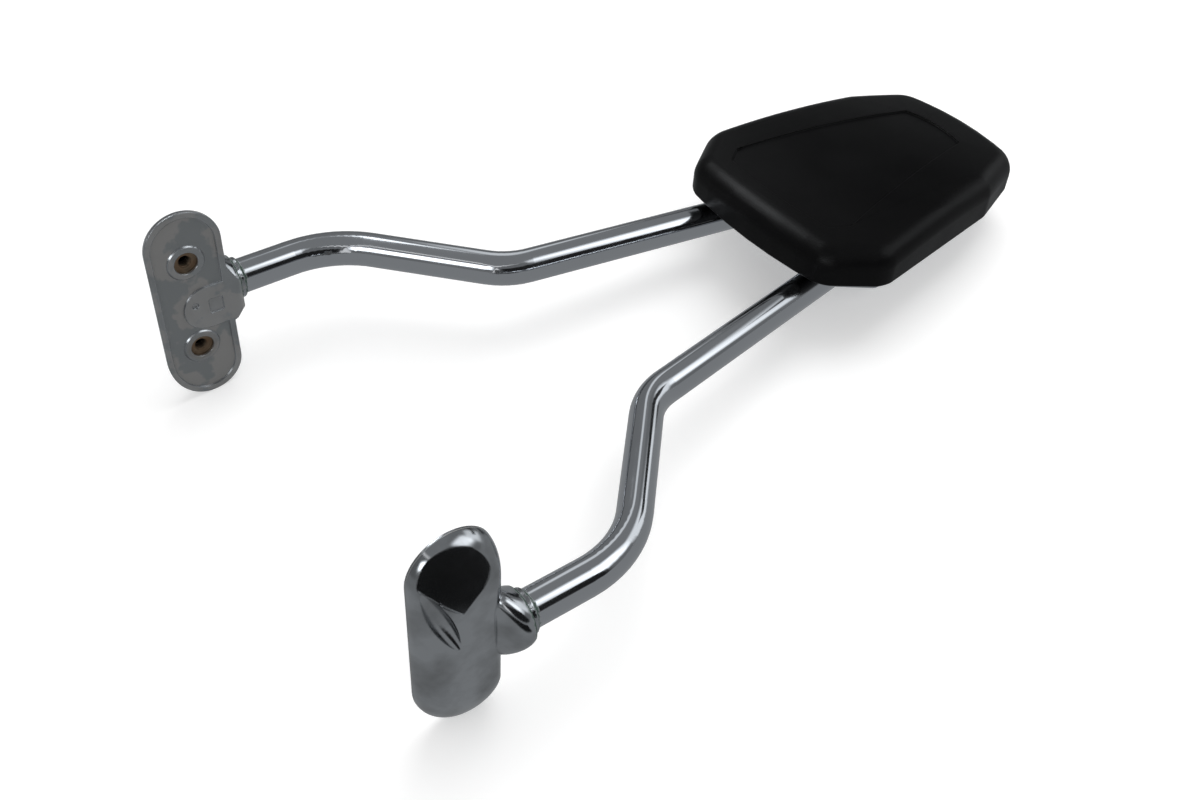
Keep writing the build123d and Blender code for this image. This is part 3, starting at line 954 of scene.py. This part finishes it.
@dataclass(frozen=True)
class Card:
    """Card of even brightness that only shows in polished metal.

    Args:
        name: Name of the object.
        place: Middle of the card.
        width: Width.
        height: Height.
        level: Brightness, where 1 is white.
        aim: Point that the card faces.
        fade: Share of the half width and height that fades out.
        tone: Colour of the card.
    """

    name: str
    place: tuple
    width: float
    height: float
    level: float
    aim: tuple = (0.0, 0.0, 0.05)
    fade: float = 0.0
    tone: tuple = (0.95, 0.98, 1.0, 1)

    def inside(self, graph: Graph, axis: int, size: float) -> bpy.types.NodeSocket:
        """One in the middle of the card, and down to zero at two of its edges."""
        along = graph.maths("ABSOLUTE", graph.part(graph.place(), axis))
        return graph.spread(along, size / 2, size / 2 * (1 - self.fade))

    def material(self) -> bpy.types.Material:
        """Builds the card's glow, clear towards its edges."""
        material = bpy.data.materials.new(self.name)
        material.use_nodes = True
        material.node_tree.nodes.clear()
        graph = Graph(material.node_tree)
        glow = {"Color": self.tone, "Strength": self.level}
        surface = graph.node("ShaderNodeEmission", glow).outputs[0]
        if self.fade:
            clear = graph.node("ShaderNodeBsdfTransparent").outputs[0]
            shown = graph.times(
                self.inside(graph, 0, self.width), self.inside(graph, 1, self.height)
            )
            layers = {0: shown, 1: clear, 2: surface}
            surface = graph.node("ShaderNodeMixShader", layers).outputs[0]
        graph.node("ShaderNodeOutputMaterial", {"Surface": surface})
        return material

    def build(self) -> None:
        """Builds the card."""
        mesh = bmesh.new()
        bmesh.ops.create_grid(mesh, x_segments=1, y_segments=1, size=0.5)
        bmesh.ops.scale(mesh, vec=(self.width, self.height, 1), verts=mesh.verts)
        card = add_mesh(self.name, mesh)
        card.data.materials.append(self.material())
        card.location = self.place
        card.rotation_euler = aimed(self.place, self.aim, "Z")
        card.visible_camera = False
        card.visible_diffuse = False
        card.visible_shadow = False
        card.visible_transmission = False


@dataclass(frozen=True)
class Lamp:
    """Large soft lamp, which mirrors don't show.

    Args:
        name: Name of the lamp.
        place: Middle of the lamp, which faces the origin.
        size: Length of its sides.
        power: Power in watts.
    """

    name: str
    place: tuple
    size: float
    power: float

    def build(self) -> None:
        """Builds the lamp."""
        lamp = bpy.data.lights.new(self.name, "AREA")
        lamp.size = self.size
        lamp.energy = self.power
        holder = add_object(self.name, lamp)
        holder.location = self.place
        holder.rotation_euler = aimed(self.place, (0.0, 0.0, 0.0), "-Z")
        holder.visible_glossy = False


@dataclass(frozen=True)
class Studio:
    """White floor and surroundings, soft lamps, cards and the camera.

    Args:
        cards: Cards that the polished metal shows.
        lamps: Lamps that light the object.
        lens: Focal length.
        film: Width of the film, in the same unit.
        near: Distance from which the camera sees.
        camera_place: Camera in the bar plane's own axes.
        camera_right: Direction of the picture's right side in those axes.
        camera_down: Direction of the picture's lower side.
        floor_size: Length of the floor's sides.
        floor_tone: Colour of the floor.
        floor_glow: Light that the floor adds where it shows.
        light: Strength of the surroundings where they don't show.
    """

    cards: tuple
    lamps: tuple
    lens: float = 38.9
    film: float = 36.0
    near: float = 10 * MM
    camera_place: tuple = (0.453048, -0.222491, 0.479637)
    camera_right: tuple = (0.5997, 0.7984, 0.0543)
    camera_down: tuple = (0.5677, -0.3766, -0.7321)
    floor_size: float = 6.0
    floor_tone: tuple = (0.86, 0.86, 0.86, 1)
    floor_glow: float = 0.3
    light: float = 0.55

    def build(self, plane: BarPlane) -> None:
        """Builds everything round the object.

        Args:
            plane: Bar plane, which the camera's place is given in.
        """
        self.build_world()
        self.build_floor()
        for thing in (*self.lamps, *self.cards):
            thing.build()
        self.build_camera(plane)
        bpy.context.scene.view_settings.view_transform = "Standard"

    @staticmethod
    def background_share(graph: Graph) -> bpy.types.NodeSocket:
        """One for rays of the camera, mirrors and glass, which see the background."""
        path = graph.node("ShaderNodeLightPath").outputs
        mirrors = graph.maths("MAXIMUM", path["Is Camera Ray"], path["Is Glossy Ray"])
        return graph.maths("MAXIMUM", mirrors, path["Is Transmission Ray"])

    def build_world(self) -> None:
        """White where it shows, and softer where it lights the object."""
        world = bpy.data.worlds.new("studio")
        world.use_nodes = True
        graph = Graph(world.node_tree)
        backdrop = world.node_tree.nodes["Background"]
        backdrop.inputs["Color"].default_value = (1, 1, 1, 1)
        shown = self.background_share(graph)
        graph.feed(backdrop.inputs["Strength"], graph.spread(shown, 0.0, 1.0, self.light, 1.0))
        bpy.context.scene.world = world

    def build_floor(self) -> None:
        """Plain pale floor that keeps the object's shadow."""
        material = bpy.data.materials.new("floor")
        material.use_nodes = True
        graph = Graph(material.node_tree)
        bsdf = material.node_tree.nodes["Principled BSDF"]
        bsdf.inputs["Base Color"].default_value = self.floor_tone
        bsdf.inputs["Roughness"].default_value = 1.0
        bsdf.inputs["Specular IOR Level"].default_value = 0.0
        bsdf.inputs["Emission Color"].default_value = (1, 1, 1, 1)
        shown = self.background_share(graph)
        graph.feed(bsdf.inputs["Emission Strength"], graph.times(shown, self.floor_glow))
        mesh = bmesh.new()
        bmesh.ops.create_grid(mesh, x_segments=1, y_segments=1, size=self.floor_size / 2)
        floor = add_mesh("floor", mesh)
        floor.data.materials.append(material)

    def build_camera(self, plane: BarPlane) -> None:
        """Sets the camera to the photograph's place and direction."""
        lens = bpy.data.cameras.new("camera")
        lens.lens = self.lens
        lens.sensor_width = self.film
        lens.clip_start = self.near
        camera = add_object("camera", lens)
        turn = plane.matrix().to_3x3()
        right = (turn @ Vector(self.camera_right)).normalized()
        up = -(turn @ Vector(self.camera_down))
        up = (up - right * up.dot(right)).normalized()
        matrix = Matrix((right, up, right.cross(up))).transposed().to_4x4()
        matrix.translation = plane.place(*self.camera_place)
        camera.matrix_world = matrix
        bpy.context.scene.camera = camera


# Assembly


@dataclass(frozen=True)
class SissyBar:
    """The whole object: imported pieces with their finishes, and the pad's skin.

    Args:
        plane: Plane of the tubes.
        effects: The shared shader groups.
        nodes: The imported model's nodes by name.
        pad: The moulded pad.
        collar_end: Upper end of the left collar in the bar plane.
    """

    plane: BarPlane
    effects: Effects
    nodes: dict
    pad: Pad
    collar_end: tuple = (0.150, -0.0065, 0.011)

    def dress(self, finish: Finish, *names: str) -> None:
        """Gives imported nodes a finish.

        Args:
            finish: The finish.
            names: Names of the nodes.
        """
        material = finish.material(self.effects)
        for name in names:
            for slot in self.nodes[name].material_slots:
                slot.material = material
            log.info("%s: %s", name, finish.name)

    def build(self) -> None:
        """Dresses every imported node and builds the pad's skin."""
        self.dress_chrome()
        self.dress_steel()
        skin = self.pad.build(self.plane)
        skin.data.materials.append(PadSkin("pad_skin").material(self.effects))
        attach(skin, "root")
        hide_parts("pad_cushion")
        log.info("pad_skin: %d faces", len(skin.data.polygons))

    def dress_chrome(self) -> None:
        """Dresses the brackets, tubes, cover and the cover's screws."""
        joint = {
            "joint": tuple(self.plane.place(*self.collar_end)),
            "joint_axis": tuple(self.plane.along),
        }
        cast = CastChrome(
            "cast_chrome",
            tint=(0.44, 0.455, 0.475, 1),
            grime_and_shade=0.75,
            edge_radius=MM,
            bores=tuple(tuple(bush_middle(level)) for level in (Level.UPPER, Level.LOWER)),
            **joint,
        )
        self.dress(cast, "bracket_left", "bracket_right")
        self.dress(Chrome("tube_chrome", wave=0.05, **joint), "upright_left", "upright_right")
        self.dress(Chrome("cover_chrome"), "rear_cover")
        self.dress(Chrome("screw_chrome", wave=0.0), "cover_screws")

    def dress_steel(self) -> None:
        """Dresses the bushes, the fasteners, the plate and the pan."""
        rust = ThreadedSteel(
            "rusty_steel",
            colour=(0.30, 0.23, 0.16, 1),
            spoiled=(0.16, 0.08, 0.03, 1),
            amount=0.8,
            rough=0.4,
        )
        self.dress(rust, *(bush_name(side, level) for side in Side for level in Level))
        zinc = Steel(
            "zinc", colour=(0.50, 0.51, 0.50, 1), spoiled=(0.33, 0.33, 0.30, 1), amount=0.5
        )
        self.dress(zinc, "pad_nuts", "pad_washers", "pad_screws", "cover_posts")
        black = Steel(
            "black_steel",
            colour=(0.03, 0.03, 0.032, 1),
            spoiled=(0.06, 0.05, 0.045, 1),
            amount=0.5,
            rough=0.5,
            metal=0.5,
        )
        self.dress(black, "pad_plate", "pad_pan")


BUSH_Y = -38 * MM
BUSH_Z = 0.5 * MM

PAD = Pad(
    outline=Outline(
        lower_y=0.2615,
        length=0.1958,
        bow=0.0055,
        rows=((0.060, 0), (0.0825, 0.176), (0.066, 0.76), (0.0495, 1)),
        corner_radius=0.018,
    ),
    panel=Outline(
        lower_y=0.280,
        length=0.146,
        bow=0.004,
        rows=((0.043, 0), (0.0505, 0.08), (0.0235, 1)),
        corner_radius=0.003,
    ),
    back=0.0142,
    thickness=0.033,
    crown_radius=0.6,
    edge_rounding=0.0125,
    back_rounding=0.002,
    panel_depth=0.0012,
    panel_edge=0.0005,
)

# The dull cards are the walls of the room, the horizons and flags its dark
# parts, and the windows what draws the bright lines along the tubes.
CARDS = (
    Card("ground", (0.0, 0.0, 0.0005), 5.0, 5.0, 0.34, aim=(0.0, 0.0, 1.0)),
    Card("ceiling", (0.0, 0.3, 2.4), 4.8, 4.8, 0.30),
    Card("wall_left", (-2.2, 0.2, 0.8), 4.6, 2.4, 0.24),
    Card("wall_right", (2.2, 0.4, 0.8), 4.6, 2.4, 0.22),
    Card("wall_back", (0.0, 2.4, 0.8), 4.6, 2.4, 0.24),
    Card("wall_front", (0.0, -2.2, 0.8), 4.6, 2.4, 0.22),
    Card("horizon_right", (1.6, -0.1, 0.42), 2.4, 0.95, 0.02, (0.0, -0.1, 0.42), 0.25),
    Card("horizon_left", (-1.9, 0.4, 0.16), 3.4, 0.26, 0.05, fade=0.35),
    Card("window_left", (-1.35, 0.95, 1.40), 0.50, 1.5, 1.0, fade=0.5),
    Card("window_over", (1.15, 1.0, 1.1), 1.6, 1.5, 2.3, fade=0.5),
    Card("window_pane", (0.35, 1.75, 0.75), 1.6, 1.5, 1.3, fade=0.4),
    Card("window_front", (-1.05, -0.30, 1.5), 1.4, 1.0, 11.0, fade=0.7),
    Card("window_near", (0.85, -1.55, 0.85), 1.1, 0.8, 4.5, fade=0.5),
    Card("flag_floor", (0.47, -0.35, 0.002), 0.42, 0.38, 0.015, (0.47, -0.35, 1.0), 0.15),
    Card("flag_pad", (-0.15, 0.64, 0.32), 0.75, 0.52, 0.02, (-0.15, 0.64, 0.0), 0.15),
)

LAMPS = (
    Lamp("lamp_over", (-0.3, 0.7, 1.5), size=1.4, power=14.0),
    Lamp("lamp_side", (1.2, -0.5, 1.1), size=0.8, power=5.0),
)


def main() -> None:
    """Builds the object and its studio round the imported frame."""
    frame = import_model()
    plane = BarPlane.from_frame(BUSH_Y, BUSH_Z)
    SissyBar(plane, Effects(), frame["nodes"], PAD).build()
    Studio(CARDS, LAMPS).build(plane)


if __name__ == "__main__":
    logging.basicConfig(level=logging.INFO)
    main()
